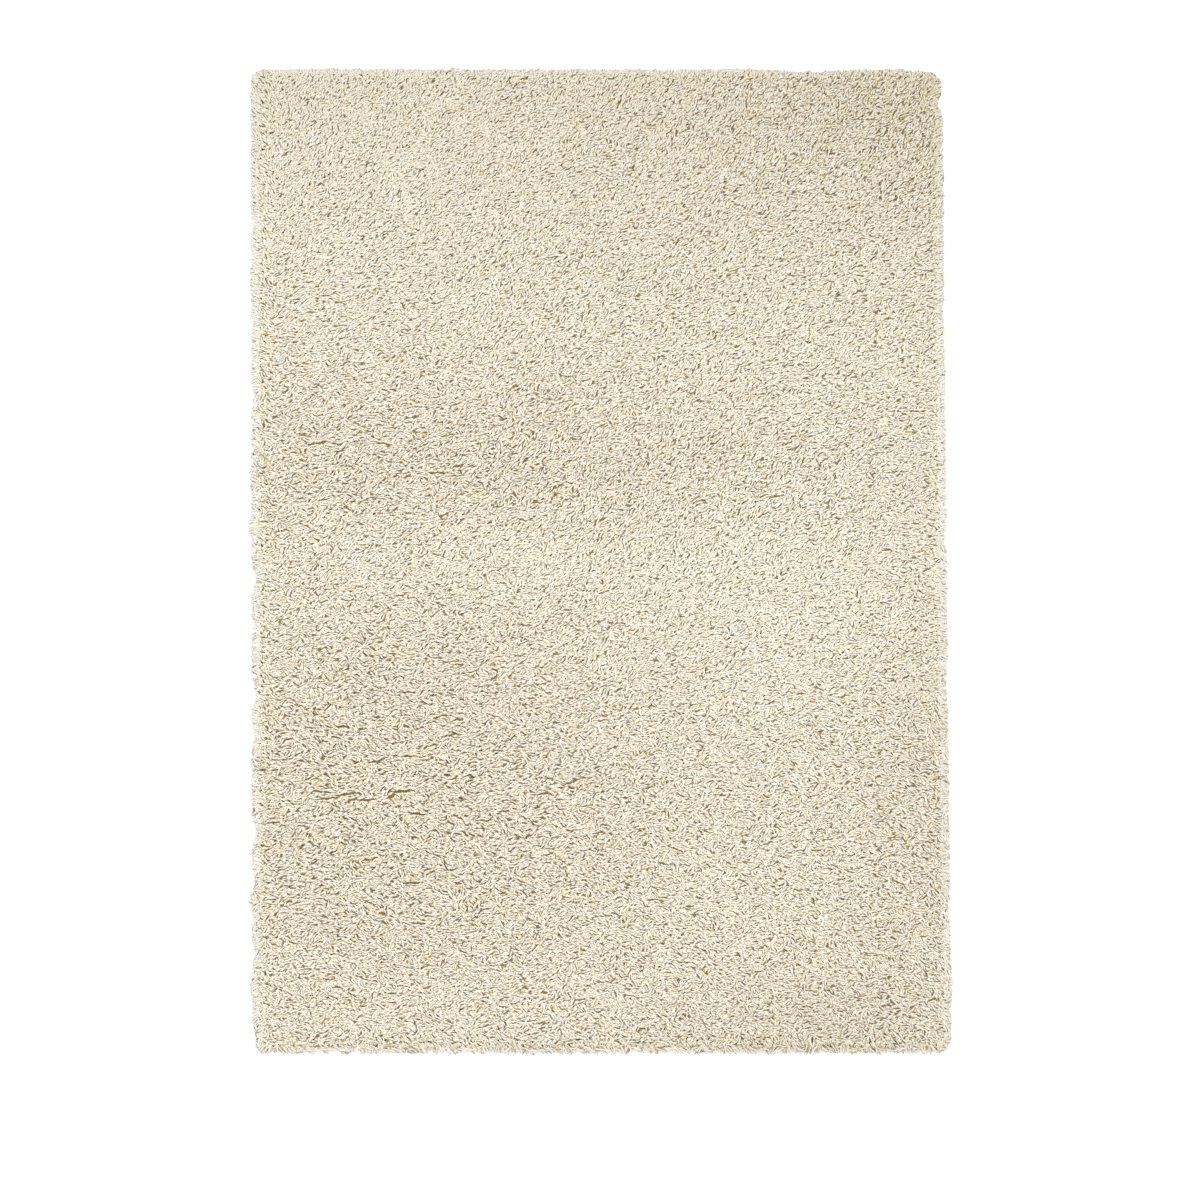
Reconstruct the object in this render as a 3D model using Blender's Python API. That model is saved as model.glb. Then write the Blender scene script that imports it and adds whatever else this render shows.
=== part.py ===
"""A thick shag rug lying flat: a woven backing with its hem, and one deep pile of yarn tufted on it.

The backing is a flat sheet. The pile is one solid above it, as far out and as high as the yarn
reaches, with the rug's uneven outline, rounded sides, soft swells and the furrows where the yarn
parts. Run it with: blender --background --python part.py
"""

import math
from collections import namedtuple

import bpy
from mathutils import Vector
from mathutils.geometry import delaunay_2d_cdt

# Sizes in metres. The underside lies at z = 0, +X is the width, and +Y runs to the far end.
RUG_WIDTH = 1.829
RUG_LENGTH = 2.743
RUG_HEIGHT = 0.038
BACKING_THICKNESS = 0.003
PIECE_GAP = 0.0003
PILE_DEPTH = RUG_HEIGHT - BACKING_THICKNESS - PIECE_GAP

# The outline before its waves: how far the far end lies to the left, and the round corners.
FAR_END_SHIFT = 0.014
CORNER_RADIUS = 0.030
CORNER_STEPS = 5
OUTLINE_STEP = 0.024

# The pile leans out past the backing, so the hem lies this far inside the pile's widest line.
HEM_INSET = 0.014

# A ring of the pile's side: how far in from the outline, how high above the pile's underside,
# and how much of the outline's waves it takes.
Ring = namedtuple("Ring", "inset height waviness")
PILE_SIDE = (
    Ring(inset=0.012, height=0.0, waviness=0.3),
    Ring(inset=0.000, height=0.008, waviness=1.0),
    Ring(inset=0.004, height=0.019, waviness=1.0),
    Ring(inset=0.013, height=0.028, waviness=0.8),
    Ring(inset=0.024, height=0.0315, waviness=0.5),
)

# A wave of the outline: its side, its place along that side from the rug's middle, half of its
# length, and its depth, inwards where positive. Near is the -Y end.
EdgeWave = namedtuple("EdgeWave", "side along reach depth")
EDGE_WAVES = (
    EdgeWave("left", 0.935, 0.030, 0.008),
    EdgeWave("left", 0.785, 0.050, -0.005),
    EdgeWave("left", 0.645, 0.030, 0.005),
    EdgeWave("left", 0.450, 0.050, 0.007),
    EdgeWave("left", 0.225, 0.045, -0.005),
    EdgeWave("left", 0.083, 0.035, -0.010),
    EdgeWave("left", -0.060, 0.045, 0.012),
    EdgeWave("left", -0.198, 0.030, 0.007),
    EdgeWave("left", -0.380, 0.050, 0.011),
    EdgeWave("left", -0.490, 0.040, 0.008),
    EdgeWave("left", -0.765, 0.050, 0.011),
    EdgeWave("left", -0.905, 0.035, 0.009),
    EdgeWave("left", -0.955, 0.030, -0.008),
    EdgeWave("left", -1.105, 0.040, 0.009),
    EdgeWave("left", -1.185, 0.040, -0.005),
    EdgeWave("left", -1.325, 0.035, 0.010),
    EdgeWave("right", 1.285, 0.045, 0.010),
    EdgeWave("right", 0.685, 0.035, 0.006),
    EdgeWave("right", 0.050, 0.050, 0.006),
    EdgeWave("right", -0.355, 0.090, 0.005),
    EdgeWave("right", -0.970, 0.050, 0.006),
    EdgeWave("right", -1.180, 0.060, -0.006),
    EdgeWave("far", -0.700, 0.160, -0.003),
    EdgeWave("far", 0.390, 0.060, -0.003),
    EdgeWave("far", 0.560, 0.120, 0.007),
    EdgeWave("far", 0.850, 0.045, 0.006),
    EdgeWave("near", -0.860, 0.080, 0.004),
    EdgeWave("near", -0.500, 0.060, 0.003),
    EdgeWave("near", 0.270, 0.030, 0.005),
    EdgeWave("near", 0.592, 0.026, 0.011),
    EdgeWave("near", 0.768, 0.026, 0.008),
)

# A furrow where the pile parts: its middle, its length, half of its width, its depth and its
# turn from +X in degrees.
Furrow = namedtuple("Furrow", "x y length half_width depth turn")
FURROWS = (
    Furrow(-0.655, 0.322, 0.200, 0.035, 0.0045, 10),
    Furrow(-0.565, 0.248, 0.120, 0.030, 0.0040, -22),
    Furrow(-0.385, 0.240, 0.130, 0.030, 0.0040, 14),
    Furrow(-0.675, -0.440, 0.300, 0.038, 0.0040, 4),
    Furrow(-0.605, -0.655, 0.260, 0.036, 0.0055, 3),
    Furrow(-0.295, -0.660, 0.120, 0.030, 0.0040, 8),
)

# A long low swell of the pile's top: its wavelengths, its phase in turns and its height.
Swell = namedtuple("Swell", "wave_x wave_y phase height")
SWELLS = (
    Swell(1.30, 0.74, 0.15, 0.0010),
    Swell(0.62, -1.10, 0.40, 0.0008),
    Swell(0.37, 0.45, 0.75, 0.0005),
)

# The net of points that the top is drawn over, between the innermost ring and the middle.
TOP_STEP = 0.058
TOP_MARGIN = 0.068
FURROW_STEP = 0.040

# Edges that bend more than this are shaded sharp: the rim of the pile's flat underside.
SHARP_ANGLE = math.radians(50)


def wave_depth(side, along):
    """How far the outline lies inside its plain line at a place along one side."""
    depth = 0.0
    for wave in EDGE_WAVES:
        off = abs(along - wave.along) / wave.reach
        if wave.side == side and off < 1.0:
            depth += wave.depth * math.cos(math.pi / 2 * off) ** 2
    return depth


def straight_stations(side, start, end, step):
    """Stations along one straight side: point, outward direction and wave depth."""
    run = end - start
    outward = Vector((run.y, -run.x)).normalized()
    count = round(run.length / step)
    for i in range(count):
        point = start + run * (i / count)
        along = point.x if side in ("near", "far") else point.y
        yield point, outward, wave_depth(side, along)


def corner_stations(centre, radius, first_angle):
    """Stations round one corner's quarter circle, without its last point."""
    for i in range(CORNER_STEPS):
        angle = first_angle + math.pi / 2 * i / CORNER_STEPS
        outward = Vector((math.cos(angle), math.sin(angle)))
        yield centre + outward * radius, outward, 0.0


def outline_stations(step):
    """Stations counterclockwise round the rug's plain outline, from the near side's left end."""
    half_w, half_l = RUG_WIDTH / 2, RUG_LENGTH / 2
    corner_w, corner_l = half_w - CORNER_RADIUS, half_l - CORNER_RADIUS
    sides = (
        ("near", Vector((-corner_w, -half_l)), Vector((corner_w, -half_l))),
        ("right", Vector((half_w, -corner_l)), Vector((half_w, corner_l))),
        ("far", Vector((corner_w, half_l)), Vector((-corner_w, half_l))),
        ("left", Vector((-half_w, corner_l)), Vector((-half_w, -corner_l))),
    )
    corners = ((1, -1), (1, 1), (-1, 1), (-1, -1))
    stations = []
    for turn, ((side, start, end), (sign_x, sign_y)) in enumerate(zip(sides, corners)):
        centre = Vector((sign_x * corner_w, sign_y * corner_l))
        stations += straight_stations(side, start, end, step)
        stations += corner_stations(centre, CORNER_RADIUS, math.pi / 2 * (turn - 1))
    return stations


def ring_points(stations, inset, waviness):
    """The outline moved in by an inset and by its share of the waves."""
    return [
        point - outward * (inset + depth * waviness)
        for point, outward, depth in stations
    ]


def skewed(point):
    """A point after the far end is moved to the left."""
    return Vector((point.x - FAR_END_SHIFT * point.y / RUG_LENGTH, point.y))


def box_fit(points):
    """The function that moves plain points so that the given ones fill the rug's exact size."""
    skew = [skewed(p) for p in points]
    low = Vector((min(p.x for p in skew), min(p.y for p in skew)))
    high = Vector((max(p.x for p in skew), max(p.y for p in skew)))
    middle = (low + high) / 2
    scale_x, scale_y = RUG_WIDTH / (high.x - low.x), RUG_LENGTH / (high.y - low.y)

    def fitted(point):
        moved = skewed(point) - middle
        return Vector((moved.x * scale_x, moved.y * scale_y))

    return fitted


def furrow_depth(x, y):
    """How deep the furrows are at a place."""
    depth = 0.0
    for furrow in FURROWS:
        angle = math.radians(furrow.turn)
        dx, dy = x - furrow.x, y - furrow.y
        along = (dx * math.cos(angle) + dy * math.sin(angle)) / (furrow.length / 2)
        across = (dy * math.cos(angle) - dx * math.sin(angle)) / furrow.half_width
        if abs(along) < 1.0 and abs(across) < 1.0:
            end = math.cos(math.pi / 2 * along)
            depth = max(depth, furrow.depth * end * math.cos(math.pi / 2 * across) ** 2)
    return depth


def top_height(x, y):
    """The pile's top above its own underside."""
    height = PILE_DEPTH
    for swell in SWELLS:
        turns = x / swell.wave_x + y / swell.wave_y + swell.phase
        height -= swell.height * (0.5 - 0.5 * math.cos(2 * math.pi * turns))
    return height - furrow_depth(x, y)


def furrow_points():
    """Points along the middle and both banks of each furrow."""
    points = []
    for furrow in FURROWS:
        angle = math.radians(furrow.turn)
        along = Vector((math.cos(angle), math.sin(angle)))
        across = Vector((-along.y, along.x))
        count = round(furrow.length / FURROW_STEP)
        for i in range(count + 1):
            middle = Vector((furrow.x, furrow.y)) + along * furrow.length * (i / count - 0.5)
            points += [middle + across * furrow.half_width * side for side in (-1, 0, 1)]
    return points


def top_points():
    """The net of points over the pile's top, closer together along the furrows."""
    half_w, half_l = RUG_WIDTH / 2 - TOP_MARGIN, RUG_LENGTH / 2 - TOP_MARGIN
    count_x, count_y = round(2 * half_w / TOP_STEP), round(2 * half_l / TOP_STEP)
    parted = furrow_points()
    points = list(parted)
    for j in range(count_y + 1):
        for i in range(count_x + 1):
            point = Vector(
                (half_w * (2 * i / count_x - 1), half_l * (2 * j / count_y - 1))
            )
            if all((point - other).length > FURROW_STEP for other in parted):
                points.append(point)
    return points


def ring_strip(first, second, count):
    """The faces between two rings, given the index of each ring's first point."""
    return [
        (first + i, first + (i + 1) % count, second + (i + 1) % count, second + i)
        for i in range(count)
    ]


def make_material(name, colour, roughness):
    """A plain matt finish."""
    material = bpy.data.materials.new(name)
    material.use_nodes = True
    shader = material.node_tree.nodes["Principled BSDF"]
    shader.inputs["Base Color"].default_value = (*colour, 1.0)
    shader.inputs["Roughness"].default_value = roughness
    shader.inputs["Metallic"].default_value = 0.0
    return material


def add_piece(name, points, faces, material, parent):
    """A piece of the rug from its points and faces."""
    mesh = bpy.data.meshes.new(name)
    mesh.from_pydata(points, [], faces)
    mesh.materials.append(material)
    piece = bpy.data.objects.new(name, mesh)
    piece.parent = parent
    bpy.context.scene.collection.objects.link(piece)
    return piece


def make_backing(fitted, rug):
    """The woven sheet that the pile is tufted into, as thick as its turned hem."""
    outline = [
        fitted(point) for point in ring_points(outline_stations(RUG_LENGTH), HEM_INSET, 0.0)
    ]
    count = len(outline)
    points = [
        (p.x, p.y, height) for height in (0.0, BACKING_THICKNESS) for p in outline
    ]
    faces = ring_strip(0, count, count)
    faces += [tuple(reversed(range(count))), tuple(range(count, 2 * count))]
    material = make_material("natural woven cotton", (0.62, 0.55, 0.43), 0.9)
    add_piece("backing", points, faces, material, rug)


def make_pile(stations, fitted, rug):
    """The deep pile: its flat underside, its rounded side and its uneven top."""
    count = len(stations)
    points = []
    for ring in PILE_SIDE:
        for plain in ring_points(stations, ring.inset, ring.waviness):
            place = fitted(plain)
            points.append((place.x, place.y, ring.height))
    faces = [tuple(reversed(range(count)))]
    for i in range(len(PILE_SIDE) - 1):
        faces += ring_strip(i * count, (i + 1) * count, count)

    inner = (len(PILE_SIDE) - 1) * count
    rim = [Vector(point[:2]) for point in points[inner:]]
    net = rim + top_points()
    placed, _, triangles, *_ = delaunay_2d_cdt(net, [], [tuple(range(count))], 1, 1e-5)
    if len(placed) != len(net):
        raise ValueError("two points of the pile's top meet")
    points += [(p.x, p.y, top_height(p.x, p.y)) for p in placed[count:]]
    faces += [tuple(inner + index for index in triangle) for triangle in triangles]

    material = make_material("cream shag yarn", (0.82, 0.74, 0.60), 0.95)
    pile = add_piece("pile", points, faces, material, rug)
    pile.location.z = BACKING_THICKNESS + PIECE_GAP
    pile.data.shade_smooth()
    pile.data.set_sharp_from_angle(angle=SHARP_ANGLE)


def main():
    for old in list(bpy.data.objects):
        bpy.data.objects.remove(old)
    rug = bpy.data.objects.new("rug", None)
    bpy.context.scene.collection.objects.link(rug)
    stations = outline_stations(OUTLINE_STEP)
    fitted = box_fit(ring_points(stations, 0.0, 1.0))
    make_backing(fitted, rug)
    make_pile(stations, fitted, rug)


main()
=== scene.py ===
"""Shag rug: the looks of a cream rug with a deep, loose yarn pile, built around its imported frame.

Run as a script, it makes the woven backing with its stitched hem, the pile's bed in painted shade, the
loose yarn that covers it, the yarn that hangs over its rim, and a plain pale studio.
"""

import math
from collections import namedtuple

import bmesh
import bpy
import numpy as np
from bpy.props import FloatProperty, FloatVectorProperty, IntProperty, PointerProperty
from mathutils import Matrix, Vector
from mathutils.bvhtree import BVHTree


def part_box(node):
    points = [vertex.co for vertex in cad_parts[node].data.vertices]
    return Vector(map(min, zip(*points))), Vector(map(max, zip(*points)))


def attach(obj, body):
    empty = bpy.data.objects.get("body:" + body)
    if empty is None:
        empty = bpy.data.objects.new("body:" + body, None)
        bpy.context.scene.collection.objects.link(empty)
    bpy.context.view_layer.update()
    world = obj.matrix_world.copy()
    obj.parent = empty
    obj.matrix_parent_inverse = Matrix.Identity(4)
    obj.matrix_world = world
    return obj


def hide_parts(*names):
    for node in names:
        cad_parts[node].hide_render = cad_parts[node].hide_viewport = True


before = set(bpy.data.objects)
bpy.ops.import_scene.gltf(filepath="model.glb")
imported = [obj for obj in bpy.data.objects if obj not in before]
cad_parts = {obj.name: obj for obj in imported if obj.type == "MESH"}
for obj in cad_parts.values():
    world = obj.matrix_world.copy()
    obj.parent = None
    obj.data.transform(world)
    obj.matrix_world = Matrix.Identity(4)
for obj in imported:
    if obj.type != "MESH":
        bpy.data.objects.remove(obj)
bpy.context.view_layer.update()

bl_info = {
    "name": "Shag Rug",
    "version": (1, 0, 0),
    "blender": (4, 5, 0),
    "location": "View3D > Sidebar > Rug",
    "description": "Makes a shag rug's backing, pile and studio around its packed frame",
    "category": "Object",
}

MM = 0.001
BODY = "root"

BACKING_LOW, BACKING_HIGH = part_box("backing")
BACKING_MIDDLE = (BACKING_LOW + BACKING_HIGH) / 2
BACKING_LENGTH = BACKING_HIGH.y - BACKING_LOW.y
PILE_LOW, PILE_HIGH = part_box("pile")
PILE_DEPTH = PILE_HIGH.z - PILE_LOW.z
HALF_WIDTH = (PILE_HIGH.x - PILE_LOW.x) / 2
HALF_LENGTH = (PILE_HIGH.y - PILE_LOW.y) / 2

# The pile leans out past the backing, so the hem and its round corners lie further in.
HEM_INSET = 14 * MM
SOLID_CORNER = 30 * MM
BACKING_CORNER = SOLID_CORNER - HEM_INSET
CORNER_STEPS = 8


def backing_lean():
    """How far the backing leans to the right on its way to the far end, as a share of the way."""
    points = np.array([v.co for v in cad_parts["backing"].data.vertices])
    close = 0.1 * MM
    far = points[points[:, 1] > BACKING_HIGH.y - close, 0]
    near = points[points[:, 1] < BACKING_LOW.y + close, 0]
    return (far.min() + far.max() - near.min() - near.max()) / (2 * BACKING_LENGTH)


BACKING_LEAN = backing_lean()
LEANED = abs(BACKING_LEAN) * (BACKING_LENGTH - 2 * BACKING_CORNER)
BACKING_WIDTH = BACKING_HIGH.x - BACKING_LOW.x - LEANED

# How the pile lies, in degrees from +X to the yarn's tips, row by row from the far end. The
# columns are places across the rug, and between rows and columns it turns smoothly.
LIE_COLUMNS = (-0.76, -0.52, -0.26, 0.02, 0.30, 0.58, 0.80, 0.895)
Lie = namedtuple("Lie", "y turns")
LIES = (
    Lie(1.330, (62, 48, 40, 55, 52, 46, 44, 66)),
    Lie(1.120, (52, 38, 36, 36, 45, 46, 48, 68)),
    Lie(0.880, (36, 24, 44, 30, 38, 20, 28, 46)),
    Lie(0.620, (18, 14, 40, 24, 30, 34, 24, 30)),
    Lie(0.420, (14, 16, 22, 34, 34, 18, 14, 20)),
    Lie(0.140, (26, 18, 34, 44, 40, 30, 16, -8)),
    Lie(-0.100, (24, 10, 20, 44, 28, 26, 20, -4)),
    Lie(-0.290, (4, 2, 14, 36, 20, 10, 20, -24)),
    Lie(-0.480, (-16, -14, 4, 12, 12, 0, -12, -22)),
    Lie(-0.640, (12, 8, 2, 8, 8, -2, -8, -24)),
    Lie(-0.900, (2, -2, -4, -8, 0, -4, -4, -24)),
    Lie(-1.160, (-14, -10, 4, 8, -12, -16, -16, -28)),
    Lie(-1.330, (4, 8, -8, -8, 0, -8, -16, -26)),
)

# How far the yarn spreads past the solid's outline on each side, and the rug's round corners.
Spread = namedtuple("Spread", "left right near far")
SPREAD = Spread(2.5 * MM, 0.5 * MM, 9.5 * MM, 1.5 * MM)
Corners = namedtuple("Corners", "far_left far_right near_right near_left")
CORNERS = Corners(32 * MM, 36 * MM, 52 * MM, 30 * MM)

# Where the yarn's outline lies further in than the solid's.
Dent = namedtuple("Dent", "side along reach depth")
DENTS = (
    Dent("far", 0.905, 0.075, 0.009),
    Dent("right", 1.275, 0.040, 0.003),
)

# The yarn of the left rim falls the other way, past a parting this far from the edge, which sways
# a little. Its turns are in degrees from +X, at rows from the far end.
PARTING = 0.056
PARTING_SWAY = 0.008
PARTING_SWAY_WAVE = 0.31
LEFT_RIM_ROWS = (1.34, 0.90, 0.55, 0.10, -0.12, -0.35, -0.60, -0.85, -1.10, -1.34)
LEFT_RIM_TURNS = (118, 126, 142, 146, 158, 140, 172, 196, 168, 188)

# How strongly the rims' yarn is pulled outwards, and the insets over which the pull fades away.
RIM_PULL = 1.4
RIM_PULL_FADE = (4 * MM, 36 * MM)

# A soft round spot: its middle, how far it reaches each way, and how much it adds there.
Spot = namedtuple("Spot", "x y reach_x reach_y amount")

# How loose the pile is all over, and where it is looser, with more and deeper gaps, or calmer
# where less than 0.
LOOSENESS = 0.45
TOUSLES = (
    Spot(-0.55, -0.70, 0.52, 0.40, 0.50),
    Spot(-0.30, 0.27, 0.75, 0.16, 0.28),
    Spot(-0.50, 1.25, 0.80, 0.35, -0.24),
    Spot(0.75, 1.25, 0.35, 0.25, 0.10),
    Spot(-0.60, 0.95, 0.45, 0.35, -0.10),
    Spot(0.80, -0.80, 0.30, 0.50, 0.12),
    Spot(0.55, -0.15, 0.45, 0.30, -0.15),
    Spot(-0.40, -0.02, 0.60, 0.10, -0.12),
    Spot(0.00, -1.385, 2.00, 0.03, 0.40),
)

# What looseness does: the share of locks that the loosest pile lacks, the share of its slits and
# of its depth that the tightest pile has, how fast both grow with looseness, and the looseness
# past which depth and tone change no more.
GAP_SHARE = 0.15
TIGHT_SHARE = 0.35
SLIT_GROWTH = 1.45
DEPTH_GROWTH = 1.4
LOOSE_ENOUGH = 0.6

# How wide the rim of the near side is, as a share of the others' width.
NEAR_RIM_SHARE = 0.65

# Painted shade: where less light reaches the pile, its yarn is painted darker than elsewhere,
# as a share of its range of tones.
PAINTED_SHADES = (
    Spot(0.85, 1.35, 0.35, 0.30, 0.14),
    Spot(0.60, -1.35, 0.45, 0.20, 0.16),
    Spot(0.92, -0.60, 0.20, 0.60, 0.10),
    Spot(-0.20, 1.42, 1.80, 0.50, 0.24),
    Spot(0.92, 1.00, 0.12, 0.60, 0.06),
    Spot(0.00, -1.385, 2.00, 0.030, 0.14),
)

# Where the yarn is warmer than elsewhere, or cooler where less than 0. The cool spots at the far end
# go with the painted shade there, keeping it neutral.
WARMTHS = (
    Spot(-0.55, -0.70, 0.55, 0.42, 0.35),
    Spot(-0.20, 0.30, 0.50, 0.20, 0.20),
    Spot(0.60, 0.00, 0.40, 0.80, -0.15),
    Spot(-0.20, 1.35, 1.20, 0.60, -0.30),
    Spot(0.85, 1.35, 0.40, 0.40, -0.25),
)

# Long creases between the tufts: each one's middle, length, width and turn in degrees.
Crease = namedtuple("Crease", "x y length width turn")
CREASES = (
    Crease(-0.515, -0.661, 0.072, 0.007, 5),
    Crease(-0.717, -0.663, 0.070, 0.005, -4),
    Crease(-0.660, -0.668, 0.085, 0.005, 12),
    Crease(-0.707, -0.681, 0.070, 0.004, 4),
    Crease(-0.603, -0.685, 0.055, 0.006, 4),
    Crease(-0.479, -0.723, 0.055, 0.006, -3),
    Crease(-0.251, -0.717, 0.045, 0.005, 10),
    Crease(-0.137, -0.668, 0.050, 0.005, -6),
    Crease(-0.303, -0.742, 0.035, 0.004, 3),
    Crease(-0.500, -0.564, 0.045, 0.004, 0),
    Crease(-0.580, -0.579, 0.040, 0.004, 12),
    Crease(-0.497, -0.386, 0.060, 0.004, 0),
    Crease(-0.412, -0.452, 0.045, 0.004, 12),
    Crease(-0.370, -0.463, 0.040, 0.004, 8),
    Crease(-0.676, -0.481, 0.040, 0.005, -10),
    Crease(-0.753, -0.485, 0.050, 0.004, 2),
    Crease(-0.489, -0.915, 0.070, 0.004, -2),
    Crease(-0.471, -1.027, 0.060, 0.004, -3),
    Crease(-0.733, 0.310, 0.065, 0.006, 12),
    Crease(-0.681, 0.308, 0.040, 0.004, 3),
    Crease(-0.564, 0.308, 0.068, 0.005, -10),
    Crease(-0.370, 0.247, 0.045, 0.005, 15),
    Crease(-0.432, 0.227, 0.040, 0.004, 8),
    Crease(-0.715, 0.151, 0.040, 0.004, 14),
)

# The rim's lobes: how far they stand out, and the two slanting waves that make them.
Wave = namedtuple("Wave", "run_x run_y length")
LOBE = 2.0 * MM
LOBE_WAVES = (Wave(1.0, 1.3, 0.047), Wave(-0.8, 1.0, 0.131))

# Where tufts lie in the cells of their net, how far they turn from what the pile does around them,
# in degrees at places along the rug, and how far they bend, stand off and differ in warmth.
TUFT_PLACES = (0.1, 0.9)
WANDER_ROWS = (-1.30, -0.60, 0.30, 1.00)
TUFT_WANDERS = (37, 32, 28, 20)
TUFT_BEND = math.radians(18)
TUFT_LIFT = 0.2 * MM
MOST_LIFTS = 1.5
TUFT_WARMTH = 0.25

# The slits in tufts: the share of tufts that have one where the pile is fairly loose, and their
# length and widths there.
SLIT_SHARE = 0.28
SLIT_LENGTH = 14 * MM
SLIT_WIDTH = (1.0 * MM, 3.4 * MM)

# The lines of slits and creases: how far from one the yarn still lies along it, how it sways, how
# much the sway differs from line to line, and how blunt its ends are.
LINE_REACH = 4 * MM
LINE_SWAY = 1.6 * MM
LINE_WAVE = 26 * MM
LINE_CHANGE = 7
LINE_BLUNT = 1.2

# How locks differ: how far they lie off their net as a share of its step, how they bend and roll,
# and the range of their thickness. None lies lower than LOWEST.
JITTER = 0.42
YARN_BEND = math.radians(9)
ROLL_WANDER = math.radians(12)
THICKNESSES = (0.85, 1.15)
LOWEST = 0.5 * MM

# How high a lock's ridge stands, as a share of its yarns' radius: one of several yarns, or of one.
LOCK_RIDGE = 0.5
YARN_RIDGE = 0.9

# The yarn map has a column for each tone and hue. A column is three yarns wide, with the underside
# of the lock in what is left, and goes up from the root to the tip.
YARN_MAP = "OFBake"
TONES = 8
HUES = 4
YARN_COLUMNS = TONES * HUES
YARN_START = 0.04
YARN_SPAN = 0.28
UNDERSIDE = (0.91, 0.98)
ROOT_PLACE = 0.01
ROOT_TO_TIP = 0.98

# What the bed's finish reads at each point: the yarn's turn, and how loose the pile is. Where the
# looseness climbs through the range below, the bed is painted darker with the gaps' shade.
LIE_NAME = "lie"
LOOSE_NAME = "loose"
GAP_SHADE_CLIMB = (0.4, 0.9)


# --- Shader sums ---------------------------------------------------------------------------


def sums(operation):
    """A sum of a Wire's and the same sum with the Wire last."""

    def forward(self, other):
        return self.finish.maths(operation, self, other)

    def reflected(self, other):
        return self.finish.maths(operation, other, self)

    return forward, reflected


class Wire:
    """An output of a finish's nodes. Sums written with it add Math nodes."""

    __add__, __radd__ = sums("ADD")
    __sub__, __rsub__ = sums("SUBTRACT")
    __mul__, __rmul__ = sums("MULTIPLY")
    __truediv__, __rtruediv__ = sums("DIVIDE")
    __mod__, __rmod__ = sums("FLOORED_MODULO")

    def __init__(self, finish, socket):
        self.finish = finish
        self.socket = socket


class Finish:
    """A new material, its nodes and its Principled shader."""

    def __init__(self, name, sheen=0.0, sheen_roughness=0.5, specular=0.2):
        self.material = bpy.data.materials.new(name)
        self.material.use_nodes = True
        self.nodes = self.material.node_tree.nodes
        self.links = self.material.node_tree.links
        self.shader = self.nodes["Principled BSDF"]
        self.shader.inputs["Sheen Weight"].default_value = sheen
        self.shader.inputs["Sheen Roughness"].default_value = sheen_roughness
        self.shader.inputs["Specular IOR Level"].default_value = specular

    def feed(self, socket, value):
        if isinstance(value, Wire):
            self.links.new(value.socket, socket)
        else:
            socket.default_value = value

    def add(self, kind, settings=(), inputs=(), output=0):
        """A new node's output: its settings are made first, and then its sockets are fed."""
        node = self.nodes.new(kind)
        for name, value in dict(settings).items():
            if name == "stops":
                ramp = node.color_ramp
                while len(ramp.elements) < len(value):
                    ramp.elements.new(1.0)
                for element, (place, colour) in zip(ramp.elements, value):
                    element.position = place
                    element.color = colour
            else:
                setattr(node, name, value)
        for name, value in dict(inputs).items():
            self.feed(node.inputs[name], value)
        return Wire(self, node.outputs[output])

    def maths(self, operation, *values):
        return self.add("ShaderNodeMath", {"operation": operation}, dict(enumerate(values)))

    def vector_maths(self, operation, first, second):
        settings = {"operation": operation}
        return self.add("ShaderNodeVectorMath", settings, {0: first, 1: second})

    def split(self, vector):
        """The three numbers of a vector or colour."""
        first = self.add("ShaderNodeSeparateXYZ", {}, {0: vector})
        return [Wire(self, output) for output in first.socket.node.outputs]

    def mix(self, factor, first, second, blend="MIX"):
        """A colour between two, or blended from two."""
        settings = {"data_type": "RGBA", "blend_type": blend}
        return self.add("ShaderNodeMix", settings, {0: factor, 6: first, 7: second}, 2)

    def step(self, value, low, high):
        """A smooth climb from 0 to 1 as a value goes from low to high."""
        settings = {"interpolation_type": "SMOOTHSTEP"}
        inputs = {"Value": value, "From Min": low, "From Max": high}
        return self.add("ShaderNodeMapRange", settings, inputs)

    def off_middle(self, share):
        """How far a place from 0 to 1 lies off the middle, as 0 there and 1 at both ends."""
        return self.maths("ABSOLUTE", share - 0.5) * 2.0

    def chance(self, pick):
        """A number from 0 to 1, drawn anew for each pick."""
        return self.add("ShaderNodeTexWhiteNoise", {"noise_dimensions": "1D"}, {"W": pick})

    def place(self):
        """Where a point of the piece lies, in metres."""
        return self.add("ShaderNodeTexCoord", {}, {}, "Object")

    def attribute(self, name):
        return self.add("ShaderNodeAttribute", {"attribute_name": name}, {}, "Fac")

    def noise(self, vector, scale, detail=2.0):
        inputs = {"Vector": vector, "Scale": scale, "Detail": detail}
        return self.add("ShaderNodeTexNoise", {}, inputs)

    def bump(self, height, distance, strength=1.0):
        inputs = {"Height": height, "Distance": distance, "Strength": strength}
        return self.add("ShaderNodeBump", {}, inputs)

    def wear(self, base, roughness, normal=None):
        self.feed(self.shader.inputs["Base Color"], base)
        self.feed(self.shader.inputs["Roughness"], roughness)
        if normal is not None:
            self.feed(self.shader.inputs["Normal"], normal)
        return self.material


def rgba(colour, level=1.0):
    return (*(channel * level for channel in colour), 1.0)


# --- The pile's shape, read from the frame ------------------------------------------------------


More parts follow.
